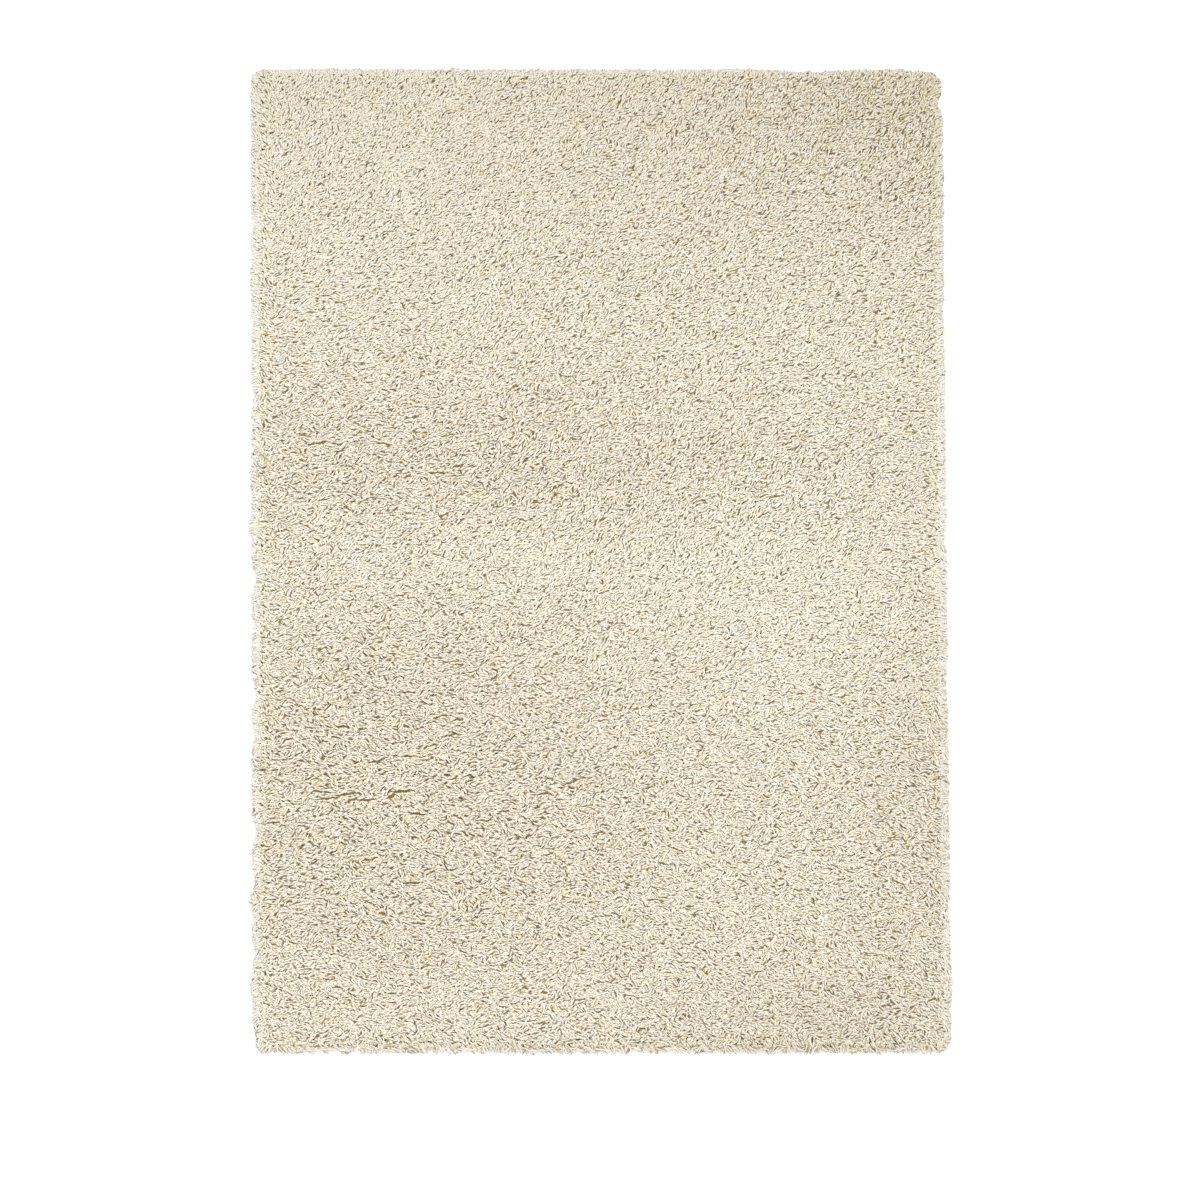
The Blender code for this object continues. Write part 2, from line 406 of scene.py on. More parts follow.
class Outline:
    """The line that the yarn reaches, as how far in from each side a place lies.

    It is the pile's widest line, moved out on each side by how far the yarn spreads past it.
    """

    def __init__(self):
        points = np.array([v.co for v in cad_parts["pile"].data.vertices])
        widest = points[np.argmax(points[:, 0]), 2]
        ring = points[np.abs(points[:, 2] - widest) < 0.5 * MM]
        flank = np.abs(ring[:, 1]) < HALF_LENGTH - SOLID_CORNER
        end = np.abs(ring[:, 0]) < HALF_WIDTH - SOLID_CORNER
        self.left = self.side(ring[flank & (ring[:, 0] < 0)], 1)
        self.right = self.side(ring[flank & (ring[:, 0] > 0)], 1)
        self.near = self.side(ring[end & (ring[:, 1] < 0)], 0)
        self.far = self.side(ring[end & (ring[:, 1] > 0)], 0)

    @staticmethod
    def side(points, axis):
        """A side's places along it and its places across, in order."""
        points = points[np.argsort(points[:, axis])]
        return points[:, axis], points[:, 1 - axis]

    def insets(self, x, y):
        """How far in a place lies from the left, right, near and far sides."""
        return (
            x - np.interp(y, *self.left) + SPREAD.left - dented("left", y),
            np.interp(y, *self.right) - x + SPREAD.right - dented("right", y),
            y - np.interp(x, *self.near) + SPREAD.near - dented("near", x),
            np.interp(x, *self.far) - y + SPREAD.far - dented("far", x),
        )

    def corner(self, x, y):
        """The corner's radius at a place, and how far the place lies into its square."""
        radius = np.where(
            y < 0,
            np.where(x < 0, CORNERS.near_left, CORNERS.near_right),
            np.where(x < 0, CORNERS.far_left, CORNERS.far_right),
        )
        left, right, near, far = self.insets(x, y)
        gone_x = np.maximum(radius - np.minimum(left, right), 0)
        gone_y = np.maximum(radius - np.minimum(near, far), 0)
        return radius, gone_x, gone_y

    def inset(self, x, y):
        """How far in a place lies from the outline, with its round corners."""
        radius, gone_x, gone_y = self.corner(x, y)
        nearest = np.min(self.insets(x, y), axis=0)
        return np.where((gone_x > 0) & (gone_y > 0), radius - np.hypot(gone_x, gone_y), nearest)


class Top:
    """The height of the pile's top, from the frame's solid, rounded down over its rim.

    It is read on a net of steps that ends before the solid's rim, and falls over ROUND from there
    to the outline, where it still stands a little proud.
    """

    STEP = 0.024
    RIM = 0.040
    ROUND = 0.036
    PROUD = 0.007
    ABOVE = 1.0

    def __init__(self, outline):
        self.outline = outline
        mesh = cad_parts["pile"].data
        tree = BVHTree.FromPolygons(
            [v.co for v in mesh.vertices], [p.vertices for p in mesh.polygons]
        )
        reach_x, reach_y = HALF_WIDTH - self.RIM, HALF_LENGTH - self.RIM
        self.xs = np.linspace(-reach_x, reach_x, round(2 * reach_x / self.STEP))
        self.ys = np.linspace(-reach_y, reach_y, round(2 * reach_y / self.STEP))
        down, high = Vector((0, 0, -1)), PILE_HIGH.z + self.ABOVE
        self.heights = np.array([
            [tree.ray_cast(Vector((x, y, high)), down)[0].z for x in self.xs] for y in self.ys
        ])

    def height(self, x, y):
        """The top's height over the inner pile, carried outwards and rounded down at the rim."""
        inward = (self.outline.inset(x, y) + self.PROUD) / (self.ROUND + self.PROUD)
        fall = np.sqrt(np.clip(1 - (1 - np.clip(inward, 0, 1)) ** 2, 0, 1))
        return between(self.heights, self.xs, self.ys, x, y) * fall


def dented(side, along):
    """How far a side's dents bring the outline in at places along it."""
    depth = 0.0
    for dent in DENTS:
        if dent.side == side:
            off = np.minimum(np.abs(along - dent.along) / dent.reach, 1)
            depth = depth + dent.depth * np.cos(math.pi / 2 * off) ** 2
    return depth


def lobed(x, y):
    """How far the rim's lobes stand out at places."""
    share = 1.0
    for wave in LOBE_WAVES:
        share = share * np.sin((wave.run_x * x + wave.run_y * y) * (2 * math.pi / wave.length))
    return LOBE * share


def grid_place(stations, values):
    """The station before each value, and how far on it lies towards the next."""
    place = np.interp(values, stations, np.arange(len(stations)))
    index = np.minimum(place.astype(int), len(stations) - 2)
    return index, place - index


def between(table, columns, rows, x, y):
    """The values of a table at places between its columns and rows."""
    i, fx = grid_place(columns, x)
    j, fy = grid_place(rows, y)
    low = table[j, i] * (1 - fx) + table[j, i + 1] * fx
    high = table[j + 1, i] * (1 - fx) + table[j + 1, i + 1] * fx
    return low * (1 - fy) + high * fy


def smooth(value, low, high):
    """A smooth climb from 0 to 1 as a value goes from low to high."""
    share = np.clip((value - low) / (high - low), 0, 1)
    return share * share * (3 - 2 * share)


# --- How the yarn lies ----------------------------------------------------------------------


def lie_of(x, y):
    """The turn of the yarn at places on the pile, in radians from +X."""
    rows = np.array([lie.y for lie in reversed(LIES)])
    turns = np.radians([lie.turns for lie in reversed(LIES)])
    return between(turns, np.array(LIE_COLUMNS), rows, x, y)


def left_rim_turn(y):
    return np.radians(np.interp(y, LEFT_RIM_ROWS[::-1], LEFT_RIM_TURNS[::-1]))


def outward_turn(left, right, near, far):
    """The turn that points straight out over the nearest side."""
    nearest = np.argmin([left, right, near, far], axis=0)
    return np.array([math.pi, 0.0, -math.pi / 2, math.pi / 2])[nearest]


def looseness(x, y):
    """How loose the pile is at places, from 0 to 1."""
    return np.clip(LOOSENESS + gathered(x, y, TOUSLES), 0, 1)


def gathered(x, y, spots):
    """The sum of the amounts of soft round spots at places."""
    total = np.zeros_like(x)
    for spot in spots:
        off = ((x - spot.x) / spot.reach_x) ** 2 + ((y - spot.y) / spot.reach_y) ** 2
        total += spot.amount * np.exp(-off)
    return total


def combed(outline, x, y):
    """The turn of the yarn at places, with the rims and the parting."""
    left, right, near, far = outline.insets(x, y)
    turn = lie_of(x, y)
    parting = PARTING + PARTING_SWAY * np.sin(2 * math.pi * y / PARTING_SWAY_WAVE)
    turn = np.where(left < parting, left_rim_turn(y), turn)
    out = outward_turn(left, right, near, far)
    inset = np.min([left, right, near, far], axis=0)
    pull = RIM_PULL * (1 - smooth(inset, *RIM_PULL_FADE))
    run_x = np.cos(turn) + pull * np.cos(out)
    run_y = np.sin(turn) + pull * np.sin(out)
    return np.arctan2(run_y, run_x)


class Tufts:
    """Tufts of yarn that lie alike, set out on a loose net. A tuft may have a slit in it."""

    def __init__(self, outline, step, rng):
        self.step = step
        self.count_x = int(2 * HALF_WIDTH / step) + 3
        self.count_y = int(2 * HALF_LENGTH / step) + 3
        shape = (self.count_y, self.count_x)
        columns, rows = np.meshgrid(np.arange(self.count_x), np.arange(self.count_y))
        self.x = (columns - self.count_x / 2 + rng.uniform(*TUFT_PLACES, shape)) * step
        self.y = (rows - self.count_y / 2 + rng.uniform(*TUFT_PLACES, shape)) * step
        wander = np.radians(np.interp(self.y, WANDER_ROWS, TUFT_WANDERS))
        self.turn = combed(outline, self.x, self.y) + wander * rng.normal(0, 1, shape)
        self.bend = TUFT_BEND * rng.normal(0, 1, shape)
        self.lift = TUFT_LIFT * np.clip(rng.normal(0, 1, shape), -MOST_LIFTS, MOST_LIFTS)
        self.slit = rng.uniform(0, 1, shape)
        self.warmth = rng.normal(0.5, TUFT_WARMTH, shape)

    def nearest(self, x, y):
        """The row and column of the tuft that each place belongs to."""
        cell_x = np.clip((x / self.step + self.count_x / 2).astype(int), 1, self.count_x - 2)
        cell_y = np.clip((y / self.step + self.count_y / 2).astype(int), 1, self.count_y - 2)
        best = np.full(len(x), np.inf)
        found_x, found_y = cell_x.copy(), cell_y.copy()
        for off_y in (-1, 0, 1):
            for off_x in (-1, 0, 1):
                j, i = cell_y + off_y, cell_x + off_x
                gap = (self.x[j, i] - x) ** 2 + (self.y[j, i] - y) ** 2
                nearer = gap < best
                best = np.where(nearer, gap, best)
                found_x, found_y = np.where(nearer, i, found_x), np.where(nearer, j, found_y)
        return found_y, found_x


def moved_aside(x, y, line_x, line_y, turn, length, room):
    """Places moved sideways until they are clear of a line by the room that they need, and how
    near the line they were, from 0 to 1."""
    cos, sin = np.cos(turn), np.sin(turn)
    along = (x - line_x) * cos + (y - line_y) * sin
    across = (y - line_y) * cos - (x - line_x) * sin
    start = along + LINE_CHANGE * line_x
    across = across - LINE_SWAY * np.sin(start * (2 * math.pi / LINE_WAVE))
    taper = np.clip(LINE_BLUNT - (2 * along / np.maximum(length, MM)) ** 2, 0, 1)
    short = np.maximum(room * taper - np.abs(across), 0)
    push = np.where(across < 0, -short, short) * (length > 0)
    near = np.exp(-(across / (room + LINE_REACH)) ** 2) * taper * (length > 0)
    return x - push * sin, y + push * cos, near


def parted(x, y, turn, bend, half):
    """Places moved off the creases' lines, and the yarn there laid straight along them."""
    for crease in CREASES:
        angle = math.radians(crease.turn)
        room = half + crease.width / 2
        x, y, near = moved_aside(x, y, crease.x, crease.y, angle, crease.length, room)
        run_x = np.cos(turn) * (1 - near) + math.cos(angle) * near
        run_y = np.sin(turn) * (1 - near) + math.sin(angle) * near
        turn = np.arctan2(run_y, run_x)
        bend = bend * (1 - near)
    return x, y, turn, bend


# --- Yarn meshes ------------------------------------------------------------------------------


# Locks of yarn: their paths, their yarns' radius, how they are rolled, and their map's column.
Yarn = namedtuple("Yarn", "paths radius roll column")

# A layer of locks, each of one yarn or of several side by side.
# step: the distance between locks
# short, long: the range of the locks' lengths
# yarns, radius: how many yarns a lock has, and half of a yarn's thickness
# shares: how far along a lock its rings lie
# girths: each ring's size, as a share of the radius
# dips: how far each ring lies under the lock's top
# depths: the range of how far locks lie under the pile's top
# wander: how far locks turn from the run of the yarn around them
# slits: how wide a slit has to be, from 0 to 1, before this layer parts there
# tone, patchy: the palest tone, and how far paler and darker yarns differ in loose pile,
# partly at random and partly as painted shade deep in the pile
# margin: how far in from the outline the layer starts and ends
# reach: the range of how far out past the outline tips may lie
Layer = namedtuple(
    "Layer",
    "step short long yarns radius shares girths dips depths wander slits tone patchy margin reach",
)

# A mesh in the making: its points, the corners of its faces, each face's number of corners, and
# each corner's place on the yarn map.
Bundle = namedtuple("Bundle", "points corners sizes map")


def turned(turn):
    """Level steps of length 1, in the directions of turns."""
    return np.stack([np.cos(turn), np.sin(turn)], axis=-1)


def lock_paths(top, root, turn, bend, length, sink, layer):
    """The points of each lock: it runs on from its root, bending, and lies on the pile's top."""
    places = [root]
    gone = 0.0
    for share in layer.shares[1:]:
        heading = turn + bend * ((gone + share) / 2 - 0.5)
        places.append(places[-1] + turned(heading) * (length * (share - gone))[:, None])
        gone = share
    points = []
    for place, dip in zip(places, layer.dips):
        height = top.height(place[:, 0], place[:, 1]) - sink - dip
        points.append(np.column_stack([place, height]))
    return np.stack(points, axis=1)


def held_in(outline, paths, reach):
    """Paths moved inwards so that no lock reaches further out than the outline allows."""
    x, y = paths[:, :, 0], paths[:, :, 1]
    left, right, near, far = outline.insets(x, y)
    x += np.maximum(-reach - left.min(axis=1), 0)[:, None]
    x -= np.maximum(-reach - right.min(axis=1), 0)[:, None]
    y += np.maximum(-reach - near.min(axis=1), 0)[:, None]
    y -= np.maximum(-reach - far.min(axis=1), 0)[:, None]
    radius, gone_x, gone_y = outline.corner(x, y)
    gone = np.hypot(gone_x, gone_y)
    over = np.where((gone_x > 0) & (gone_y > 0), gone - radius - reach[:, None], 0)
    worst = np.arange(len(paths)), np.argmax(over, axis=1)
    share = np.maximum(over[worst], 0) / np.maximum(gone[worst], MM)
    x -= (np.sign(x[worst]) * gone_x[worst] * share)[:, None]
    y -= (np.sign(y[worst]) * gone_y[worst] * share)[:, None]
    return paths


def lock_faces(layer):
    """One lock's faces, each a list of corners: point number, place across and place along."""
    half = YARN_SPAN * layer.yarns / 2
    ridge, edge = YARN_START + half, YARN_START + 2 * half
    rings = len(layer.shares) - 2
    first, last = layer.shares[1], layer.shares[-2]
    tip = 1 + 3 * rings
    faces = []
    for side, (start, end) in enumerate(((YARN_START, ridge), (ridge, edge), UNDERSIDE)):
        after = (side + 1) % 3
        middle = (start + end) / 2
        faces.append(((0, middle, 0.0), (1 + side, start, first), (1 + after, end, first)))
        for ring in range(1, rings):
            low, high = 1 + 3 * (ring - 1), 1 + 3 * ring
            below, above = layer.shares[ring], layer.shares[ring + 1]
            faces.append((
                (low + side, start, below),
                (high + side, start, above),
                (high + after, end, above),
                (low + after, end, below),
            ))
        low = tip - 3
        faces.append(((low + after, end, last), (low + side, start, last), (tip, middle, 1.0)))
    return faces


def lock_bundle(yarn, layer):
    """The mesh of all of a layer's locks: flat, with a ridge on top and a point at both ends."""
    count, rings = len(yarn.paths), len(layer.shares) - 2
    wide = layer.yarns
    tall = YARN_RIDGE if layer.yarns == 1 else LOCK_RIDGE
    edges = ((-wide, -0.5 * tall), (0.0, tall), (wide, -0.5 * tall))
    points = [yarn.paths[:, :1]]
    for ring in range(1, rings + 1):
        run = yarn.paths[:, ring + 1] - yarn.paths[:, ring - 1]
        run /= np.linalg.norm(run, axis=1, keepdims=True)
        level = np.cross((0.0, 0.0, 1.0), run)
        level /= np.linalg.norm(level, axis=1, keepdims=True)
        above = np.cross(run, level)
        cos, sin = np.cos(yarn.roll)[:, None], np.sin(yarn.roll)[:, None]
        beside = level * cos + above * sin
        above = above * cos - level * sin
        size = (yarn.radius * layer.girths[ring])[:, None]
        for across, up in edges:
            points.append((yarn.paths[:, ring] + (beside * -across + above * up) * size)[:, None])
    points.append(yarn.paths[:, -1:])
    points = np.concatenate(points, axis=1)
    points[:, :, 2] = np.maximum(points[:, :, 2], LOWEST)

    faces = lock_faces(layer)
    corners = [corner for face in faces for corner in face]
    index, across, along = (np.array(values) for values in zip(*corners))
    starts = np.arange(count)[:, None] * points.shape[1]
    column = (yarn.column[:, None] + across) / YARN_COLUMNS
    up = np.broadcast_to(ROOT_PLACE + ROOT_TO_TIP * along, column.shape)
    return Bundle(
        points.reshape(-1, 3),
        (starts + index).ravel(),
        np.tile([len(face) for face in faces], count),
        np.stack([column, up], axis=-1).reshape(-1, 2),
    )


def bundle_mesh(name, bundles):
    """One mesh of several bundles."""
    firsts = np.cumsum([0] + [len(bundle.points) for bundle in bundles])
    points = np.concatenate([bundle.points for bundle in bundles])
    corners = np.concatenate([bundle.corners + first for bundle, first in zip(bundles, firsts)])
    sizes = np.concatenate([bundle.sizes for bundle in bundles])
    starts = np.cumsum(sizes) - sizes
    mesh = bpy.data.meshes.new(name)
    mesh.vertices.add(len(points))
    mesh.loops.add(len(corners))
    mesh.polygons.add(len(sizes))
    mesh.vertices.foreach_set("co", points.astype(np.float32).ravel())
    mesh.loops.foreach_set("vertex_index", corners.astype(np.int32))
    mesh.polygons.foreach_set("loop_start", starts.astype(np.int32))
    mesh.update(calc_edges=True)
    mesh.shade_smooth()
    places = np.concatenate([bundle.map for bundle in bundles])
    mesh.uv_layers.new(name=YARN_MAP).uv.foreach_set("vector", places.astype(np.float32).ravel())
    return mesh


def scattered(outline, layer, rng):
    """Places on a loose net of points, in the layer's margin of the outline."""
    rows = np.arange(-HALF_LENGTH, HALF_LENGTH, layer.step)
    columns = np.arange(-HALF_WIDTH, HALF_WIDTH + layer.step, layer.step)
    x, y = np.meshgrid(columns, rows)
    x = (x - layer.step / 2 * (np.arange(len(rows)) % 2)[:, None]).ravel()
    y = y.ravel()
    x = x + rng.uniform(-JITTER, JITTER, len(x)) * layer.step
    y = y + rng.uniform(-JITTER, JITTER, len(y)) * layer.step
    inset, near = outline.inset(x, y), outline.insets(x, y)[2]
    narrow = np.where(near < layer.margin[1], NEAR_RIM_SHARE, 1.0)
    kept = (inset > layer.margin[0]) & (inset < layer.margin[1] * narrow)
    kept &= rng.uniform(0, 1, len(x)) > GAP_SHARE * looseness(x, y)
    return x[kept], y[kept]


def stepped(values, count, rng):
    """Values from 0 to 1 as whole steps, each rounded up or down by chance so the mean stays."""
    steps = np.clip(values, 0, 1) * (count - 1) + rng.uniform(0, 1, len(values))
    return np.minimum(np.floor(steps), count - 1)


def lay_yarn(outline, top, tufts, layer, rng):
    """All locks of a layer, laid on the pile's top."""
    x, y = scattered(outline, layer, rng)
    count = len(x)
    at = tufts.nearest(x, y)
    turn = tufts.turn[at]
    half = layer.yarns * layer.radius
    loose = looseness(tufts.x[at], tufts.y[at])
    fairly = np.minimum(loose, LOOSE_ENOUGH)

    more = TIGHT_SHARE + SLIT_GROWTH * loose
    depth = tufts.slit[at] / (SLIT_SHARE * more)
    width = (SLIT_WIDTH[0] + (SLIT_WIDTH[1] - SLIT_WIDTH[0]) * depth) * more
    is_open = (depth < 1) & (depth * more > layer.slits)
    slit = np.where(is_open, SLIT_LENGTH, 0)
    x, y, near = moved_aside(x, y, tufts.x[at], tufts.y[at], turn, slit, half + width / 2)
    turn = turn + rng.normal(0, layer.wander, count) * (1 - near)
    bend = (tufts.bend[at] + rng.normal(0, YARN_BEND, count)) * (1 - near)
    x, y, turn, bend = parted(x, y, turn, bend, half)

    length = rng.uniform(layer.short, layer.long, count)
    radius = layer.radius * rng.uniform(*THICKNESSES, count)
    sink = rng.uniform(*layer.depths, count) - tufts.lift[at]
    sink = radius + sink * (TIGHT_SHARE + DEPTH_GROWTH * fairly)
    sink = np.maximum(sink, radius / 2)
    root = np.column_stack([x, y]) - turned(turn) * (length / 2)[:, None]
    paths = lock_paths(top, root, turn, bend, length, sink, layer)
    paths = held_in(outline, paths, lobed(x, y) + rng.uniform(*layer.reach, count))
    paths[:, :, 2] = np.maximum(paths[:, :, 2], radius[:, None] + LOWEST)

    # Tones differ at random, and painted shade darkens them: more in lower locks of loose pile, and in
    # the shade spots.
    tone = layer.tone * rng.uniform(0, 1, count) ** (layer.patchy * fairly)
    tone = stepped(tone - gathered(x, y, PAINTED_SHADES), TONES, rng)
    warmth = stepped(tufts.warmth[at] + gathered(x, y, WARMTHS), HUES, rng)
    roll = rng.normal(0, ROLL_WANDER, count)
    return Yarn(paths, radius, roll, tone * HUES + warmth)


def add_piece(name, mesh, material, stands_for):
    """A shown piece that rides on the rug."""
    piece = bpy.data.objects.new(name, mesh)
    bpy.context.scene.collection.objects.link(piece)
    mesh.materials.clear()
    mesh.materials.append(material)
    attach(piece, BODY)
    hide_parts(stands_for)
    return piece


# --- Finishes -----------------------------------------------------------------------------------


WHITE = (1.0, 1.0, 1.0, 1.0)

# A yarn's colour: the share of its warmth that is its own and not its lock's, where the painted
# shade at its root fades out on the way to the tip, and where the painted shade of its grooves begins
# on the way from its middle to its side. In patches that shade is paler, down to a least share.
STRAND_WARMTH = 0.3
ROOT_SHADE_FADE = (0.03, 0.42)
GROOVE_SHADE_FADE = (0.42, 0.80)
GROOVE_SHADE_LEAST = 0.45
PATCH_SPREAD = (3.7, 3.0)
PATCH_FADE = (0.35, 0.65)
# How strong the painted shade at the root is, and the share of the painted groove and root shade that
# the rim's yarn gets.
ROOT_SHADE_STRENGTH = 0.85
RIM_SHADE_SHARE = 0.25

# A yarn's twist: how often its plies cross it, where the lines between them begin, how dark the
# painted shade in these lines is and how deep they are, and how round the yarn looks.
PLIES = 6.0
PLY_FADE = (0.30, 0.5)
PLY_SHADE = 0.12
PLY_DEPTH = 0.2
YARN_BUMP = 1.6 * MM
YARN_BUMP_SHARE = 0.55

# The bed's looks: how far its locks turn and curve, how its upper locks are moved off the lower
# ones and how large they are, which of them lie on top, and where the painted shade of the gaps beside
# a yarn begins.
BED_SPREAD = 2.4
BED_CURVE = 2.0
BED_MOVE = (0.37, 0.21, 0.0)
BED_UPPER_SIZE = 0.8
BED_UPPER_FADE = (0.45, 0.47)
BED_GAP_SHADE_FADE = (0.2, 0.8)


def yarn_finish(name, colours, warm, cool, groove_shade, root):
    """Two-ply yarns side by side, with painted shade in their grooves, ply lines and roots."""
    finish = Finish(name, sheen=0.15, sheen_roughness=0.4, specular=0.15)
    across, along, _ = finish.split(finish.add("ShaderNodeUVMap", {"uv_map": YARN_MAP}))
    column = across * YARN_COLUMNS
    inside = column % 1.0
    number = column - inside
    hue = number % HUES
    tone = (number - hue) / (HUES * (TONES - 1))
    yarn = (inside - YARN_START) / YARN_SPAN
    beside = yarn % 1.0
    pick = number + (yarn - beside) * 0.31
    warmth = finish.chance(pick) * STRAND_WARMTH + hue * ((1 - STRAND_WARMTH) / (HUES - 1))
    gleam = finish.chance(pick * 5.3)
    # The tone ramp runs from the deep tint, painted shade of deep gaps, through the dark tint to
    # white.
    dark, deep = rgba(colours.strand_dark_and_shade), rgba(colours.strand_deep_shade)
    pale = finish.mix(warmth, rgba(cool), rgba(warm))
    pale = finish.mix(gleam * gleam * colours.strand_change, pale, dark)
    stops = [(0.0, deep), (0.5, dark), (1.0, WHITE)]
    tint = finish.add("ShaderNodeValToRGB", {"stops": stops}, {0: tone})
    body = finish.mix(1.0, pale, tint, "MULTIPLY")
    # Painted shade: the roots deep in the pile and the grooves between yarns take this darker colour.
    painted_shade_colour = finish.mix(warmth, rgba(colours.root_shade_cool), rgba(colours.root_shade_warm))
    depth = 1 - finish.step(along, *ROOT_SHADE_FADE)
    places = {0: pick * PATCH_SPREAD[0], 1: along * PATCH_SPREAD[1], 2: 0.0}
    patches = finish.noise(finish.add("ShaderNodeCombineXYZ", {}, places), 1.6, 1.0)
    patch = finish.step(patches, *PATCH_FADE)
    off = finish.off_middle(beside)
    edge = finish.step(off, *GROOVE_SHADE_FADE)
    # Painted shade in the lines between the plies.
    ply = (beside + along * PLIES) % 1.0
    twist = finish.step(finish.maths("ABSOLUTE", ply - 0.5), *PLY_FADE)
    # Painted shade at the root, then in the grooves, then in the lines between the plies.
    base = finish.mix(depth * root, body, painted_shade_colour)
    base = finish.mix(edge * (GROOVE_SHADE_LEAST + patch * (1 - GROOVE_SHADE_LEAST)) * groove_shade, base, painted_shade_colour)
    base = finish.mix(twist * PLY_SHADE, base, painted_shade_colour)
    normal = finish.bump(1 - off * off - twist * PLY_DEPTH, YARN_BUMP, YARN_BUMP_SHARE)
    return finish.wear(base, 0.9, normal)


def lock_pattern(finish, place, lie, lock, pitch):
    """Small locks of parallel yarn, each with its own turn: how far each place lies off its yarn's
    middle, and two picks for each lock."""
    inputs = {"Vector": place, "Scale": 1 / lock}
    cells = finish.add("ShaderNodeTexVoronoi", {}, inputs, "Position")
    chance = Wire(finish, cells.socket.node.outputs["Color"])
    turn_pick, bend_pick, pick = finish.split(chance)
    x, y, _ = finish.split(finish.vector_maths("SUBTRACT", place, cells))
    turn = lie + (turn_pick - 0.5) * BED_SPREAD
    cos, sin = finish.maths("COSINE", turn), finish.maths("SINE", turn)
    along = x * cos + y * sin
    across = y * cos - x * sin + along * along * (bend_pick - 0.5) * (BED_CURVE / lock)
    beside = (across / pitch + pick * 7.0) % 1.0
    return finish.off_middle(beside), pick, bend_pick


def bed_finish(colours, lock, pitch):
    """The deeper yarn of the pile: small locks that cross each other, painted dark as shade, with
    darker painted shade in the slits.
    """
    finish = Finish("deep shag yarn in painted shade", sheen=0.15, sheen_roughness=0.4, specular=0.1)
    place = finish.place()
    lie = finish.attribute(LIE_NAME)
    low_off, low_pick, _ = lock_pattern(finish, place, lie, lock, pitch)
    moved = finish.vector_maths("ADD", place, BED_MOVE)
    high_off, high_pick, which = lock_pattern(finish, moved, lie, BED_UPPER_SIZE * lock, pitch)
    upper = finish.step(which, *BED_UPPER_FADE)
    off = low_off * (1 - upper) + high_off * upper
    pick = low_pick * (1 - upper) + high_pick * upper
    # The bed and gap colours are painted shade: darker where the pile is loose, and darkest in the
    # gaps beside each yarn.
    body = finish.mix(pick, rgba(colours.bed, 0.85), rgba(colours.bed))
    body = finish.mix(finish.attribute(LOOSE_NAME) * 0.9, body, rgba(colours.gap, 0.6))
    base = finish.mix(finish.step(off, *BED_GAP_SHADE_FADE), body, rgba(colours.gap))
    normal = finish.bump(1 - off * off + upper * 0.5, 2.0 * MM, 0.8)
    return finish.wear(base, 0.95, normal)


def backing_finish(colours, yarn_pitch):
    """Plain-woven cotton: warp and weft yarns that pass over and under each other."""
    finish = Finish("natural plain-woven cotton", sheen=0.15, specular=0.2)
    place = finish.place()
    x, y, _ = finish.split(place)
    turn = math.pi / yarn_pitch
    over = finish.maths("SINE", x * turn) * finish.maths("SINE", y * turn) * 0.5 + 0.5
    slub = finish.noise(place, 260.0, 3.0)
    dark, pale = rgba(colours.backing, 0.72), rgba(colours.backing, 1.1)
    base = finish.mix(over * 0.6 + slub * 0.4, dark, pale)
    return finish.wear(base, 0.92, finish.bump(over, 0.5 * MM, 0.8))


def thread_finish(colours):
    """Sewing thread, with its twist."""
    finish = Finish("hem thread", sheen=0.2, specular=0.3)
    twist = finish.noise(finish.place(), 900.0)
    base = finish.mix(twist, rgba(colours.thread, 0.8), rgba(colours.thread))
    return finish.wear(base, 0.8, finish.bump(twist, 0.2 * MM))


def floor_finish(colours):
    """Matt paper, bright enough to stay pale round the rug."""
    finish = Finish("studio paper", specular=0.0)
    grain = finish.noise(finish.place(), 3.0)
    base = finish.mix(grain, rgba(colours.floor, 0.98), rgba(colours.floor))
    finish.shader.inputs["Emission Color"].default_value = rgba(colours.floor)
    finish.shader.inputs["Emission Strength"].default_value = colours.floor_glow
    return finish.wear(base, 1.0)


# --- Settings ---------------------------------------------------------------------------------


def length_property(name, description, default):
    return FloatProperty(
        name=name, description=description, default=default, min=0.0, unit="LENGTH", precision=5
    )


def colour_property(name, description, default):
    return FloatVectorProperty(
        name=name, description=description, default=default, size=3, min=0.0, max=1.0, subtype="COLOR"
    )


class RugSizes(bpy.types.PropertyGroup):
    """The sizes of the rug's yarn, bed and hem."""

    top_step: length_property("Top step", "Distance between the single yarns on top", 6.45 * MM)
    low_step: length_property("Low step", "Distance between the locks of yarn below", 12.0 * MM)
    rim_step: length_property("Rim step", "Distance between the rim's yarns", 6.2 * MM)
    tuft_step: length_property("Tuft step", "Distance between tufts that lie alike", 17 * MM)
    short: length_property("Shortest yarn", "Length of the pile's shortest yarns", 17 * MM)
    long: length_property("Longest yarn", "Length of the pile's longest yarns", 30 * MM)
    rim_short: length_property("Shortest rim yarn", "Length of the rim's shortest yarns", 20 * MM)
    rim_long: length_property("Longest rim yarn", "Length of the rim's longest yarns", 30 * MM)
    yarn_radius: length_property("Yarn radius", "Half of a yarn's thickness", 2.6 * MM)
    layer_depth: length_property("Layer depth", "Depth of the layer in which yarn lies", 2.3 * MM)
    bed_drop: length_property("Bed drop", "How far the bed lies under the pile's top", 6.5 * MM)
    bed_inset: length_property("Bed inset", "How far the bed lies in from the outline", 12 * MM)
    bed_lock: length_property("Bed lock", "Width of the bed's locks of yarn", 18 * MM)
    bed_yarn: length_property("Bed yarn", "Distance between the bed's yarns", 6.4 * MM)
    hem_width: length_property("Hem width", "Width of the turned hem", 22 * MM)
    stitch_step: length_property("Stitch step", "Distance between the hem's stitches", 12 * MM)
    thread: length_property("Thread", "Half of the hem thread's thickness", 0.45 * MM)
    cloth_yarn: length_property("Backing yarn", "Distance between the backing's yarns", 1.8 * MM)
    bands: IntProperty(name="Bands", description="Bands that the pile is made in", default=6, min=1)
    seed: IntProperty(name="Seed", description="Start of the random numbers", default=11)


